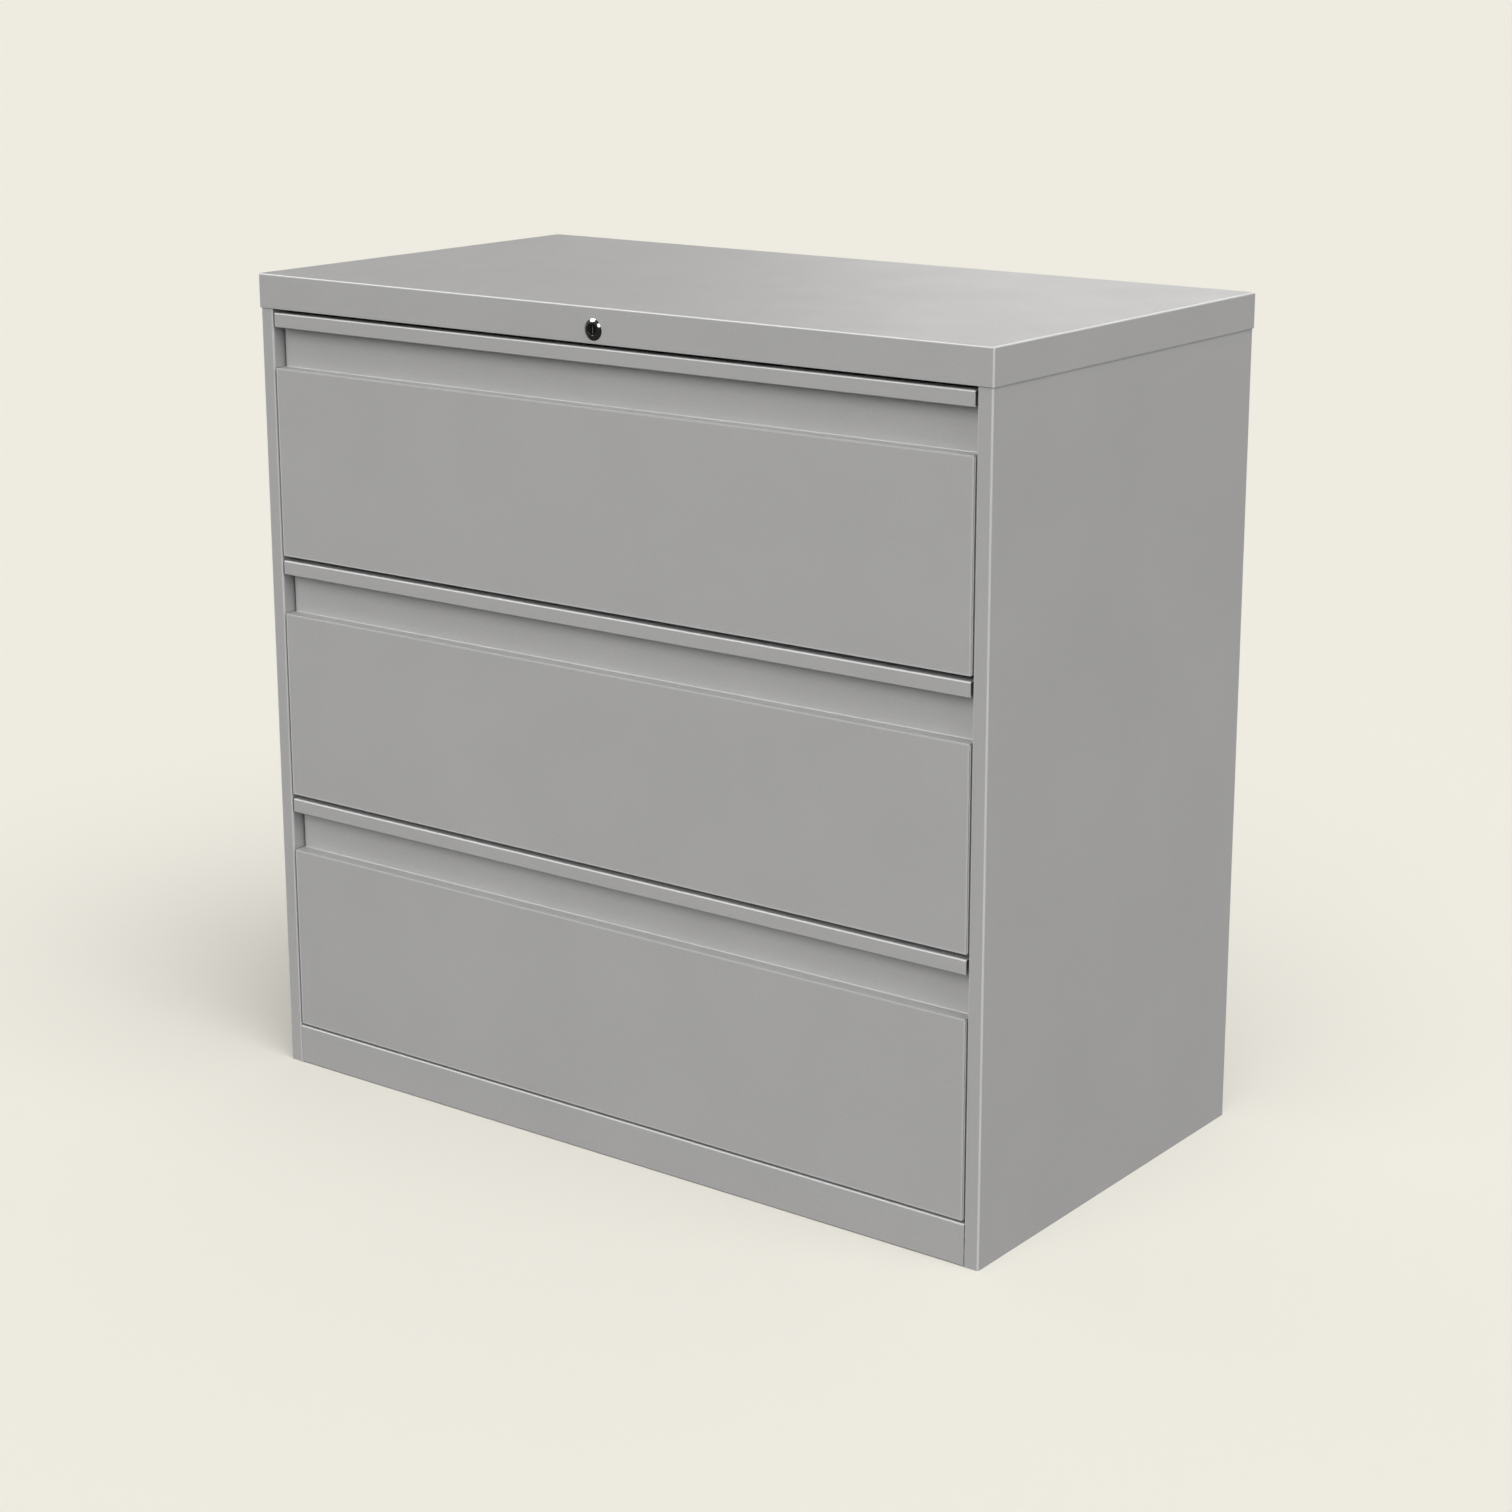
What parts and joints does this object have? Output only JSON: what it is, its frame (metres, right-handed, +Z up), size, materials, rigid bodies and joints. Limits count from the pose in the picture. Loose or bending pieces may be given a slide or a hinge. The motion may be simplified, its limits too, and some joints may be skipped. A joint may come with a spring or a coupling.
{
  "type": "lateral filing cabinet",
  "caption": "Wide steel filing cabinet with full-width drawers on ball slides, finger-recess pull bars and a central lock.",
  "frame": {"origin": "on the floor, under the middle of the cabinet's outer box", "axes": "+Z up; the drawers face and open towards -Y; +X is to the right of someone facing the drawers"},
  "size_m": [1.066, 0.5624, 1.022],
  "materials": {
    "case_paint": "fine-textured grey powder coat",
    "inner_paint": "grey powder coat, slightly darker inside",
    "zinc_plate": "bright zinc plate",
    "lock_chrome": "polished chrome plate",
    "plug_steel": "dark nickel plate",
    "ballast_iron": "raw bar with a thin dark coat",
    "glide_plastic": "moulded nylon"
  },
  "bodies": {
    "cabinet": {"top_panel": "case_paint", "left_side_panel": "case_paint", "right_side_panel": "case_paint", "back_panel": "case_paint", "base_rail": "case_paint", "rear_base_rail": "case_paint", "bottom_panel": "inner_paint", "top_front_rail": "inner_paint", "left_front_upright": "inner_paint", "right_front_upright": "inner_paint", "left_rear_upright": "inner_paint", "right_rear_upright": "inner_paint", "glide_brackets": "zinc_plate", "counterweight": "ballast_iron", "case_screws": "zinc_plate", "lock_housing": "lock_chrome", "lock_nut": "zinc_plate", "lock_guides": "zinc_plate", "bottom_outer_slides": "zinc_plate", "middle_outer_slides": "zinc_plate", "top_outer_slides": "zinc_plate"},
    "bottom_drawer": {"bottom_drawer_front": "case_paint", "bottom_drawer_liner": "inner_paint", "bottom_tray_floor": "inner_paint", "bottom_left_tray_side": "inner_paint", "bottom_right_tray_side": "inner_paint", "bottom_tray_back": "inner_paint", "bottom_hang_rails": "zinc_plate", "bottom_drawer_catch": "zinc_plate", "bottom_inner_slides": "zinc_plate"},
    "bottom_centre_members": {"bottom_centre_slides": "zinc_plate"},
    "middle_drawer": {"middle_drawer_front": "case_paint", "middle_drawer_liner": "inner_paint", "middle_tray_floor": "inner_paint", "middle_left_tray_side": "inner_paint", "middle_right_tray_side": "inner_paint", "middle_tray_back": "inner_paint", "middle_hang_rails": "zinc_plate", "middle_drawer_catch": "zinc_plate", "middle_inner_slides": "zinc_plate"},
    "middle_centre_members": {"middle_centre_slides": "zinc_plate"},
    "top_drawer": {"top_drawer_front": "case_paint", "top_drawer_liner": "inner_paint", "top_tray_floor": "inner_paint", "top_left_tray_side": "inner_paint", "top_right_tray_side": "inner_paint", "top_tray_back": "inner_paint", "top_hang_rails": "zinc_plate", "top_drawer_catch": "zinc_plate", "top_inner_slides": "zinc_plate"},
    "top_centre_members": {"top_centre_slides": "zinc_plate"},
    "lock_cylinder": {"lock_plug": "plug_steel", "lock_cam": "zinc_plate"},
    "lock_link": {"lock_link": "zinc_plate"},
    "lock_bar": {"lock_bar": "zinc_plate", "lock_lugs": "zinc_plate"},
    "left_front_glide": {"left_front_glide": "glide_plastic"},
    "right_front_glide": {"right_front_glide": "glide_plastic"},
    "left_rear_glide": {"left_rear_glide": "glide_plastic"},
    "right_rear_glide": {"right_rear_glide": "glide_plastic"}
  },
  "joints": [
    {"name": "bottom_drawer_pull", "type": "slide", "parent": "cabinet", "child": "bottom_drawer", "axis": [0, -1, 0], "range_m": [0, 0.45]},
    {"name": "bottom_slide_extension", "type": "slide", "parent": "cabinet", "child": "bottom_centre_members", "axis": [0, -1, 0], "range_m": [0, 0.225]},
    {"name": "middle_drawer_pull", "type": "slide", "parent": "cabinet", "child": "middle_drawer", "axis": [0, -1, 0], "range_m": [0, 0.45]},
    {"name": "middle_slide_extension", "type": "slide", "parent": "cabinet", "child": "middle_centre_members", "axis": [0, -1, 0], "range_m": [0, 0.225]},
    {"name": "top_drawer_pull", "type": "slide", "parent": "cabinet", "child": "top_drawer", "axis": [0, -1, 0], "range_m": [0, 0.45]},
    {"name": "top_slide_extension", "type": "slide", "parent": "cabinet", "child": "top_centre_members", "axis": [0, -1, 0], "range_m": [0, 0.225]},
    {"name": "lock_turn", "type": "hinge", "parent": "cabinet", "child": "lock_cylinder", "pos_m": [0, -0.27, 0.996], "axis": [0, 1, 0], "range_deg": [0, 90]},
    {"name": "lock_link_slide", "type": "slide", "parent": "cabinet", "child": "lock_link", "axis": [1, 0, 0], "range_m": [0, 0.01555]},
    {"name": "lock_bar_lift", "type": "slide", "parent": "cabinet", "child": "lock_bar", "axis": [0, 0, 1], "range_m": [0, 0.01555]},
    {"name": "left_front_glide_screw", "type": "slide", "parent": "cabinet", "child": "left_front_glide", "axis": [0, 0, -1], "range_m": [0, 0.015]},
    {"name": "right_front_glide_screw", "type": "slide", "parent": "cabinet", "child": "right_front_glide", "axis": [0, 0, -1], "range_m": [0, 0.015]},
    {"name": "left_rear_glide_screw", "type": "slide", "parent": "cabinet", "child": "left_rear_glide", "axis": [0, 0, -1], "range_m": [0, 0.015]},
    {"name": "right_rear_glide_screw", "type": "slide", "parent": "cabinet", "child": "right_rear_glide", "axis": [0, 0, -1], "range_m": [0, 0.015]}
  ],
  "couplings": [
    {"joint": "bottom_slide_extension", "follows": "bottom_drawer_pull", "ratio": 0.5},
    {"joint": "middle_slide_extension", "follows": "middle_drawer_pull", "ratio": 0.5},
    {"joint": "top_slide_extension", "follows": "top_drawer_pull", "ratio": 0.5},
    {"joint": "lock_link_slide", "follows": "lock_bar_lift", "ratio": 1},
    {"joint": "lock_turn", "follows": "lock_bar_lift", "rad_per_m": 100.97}
  ]
}
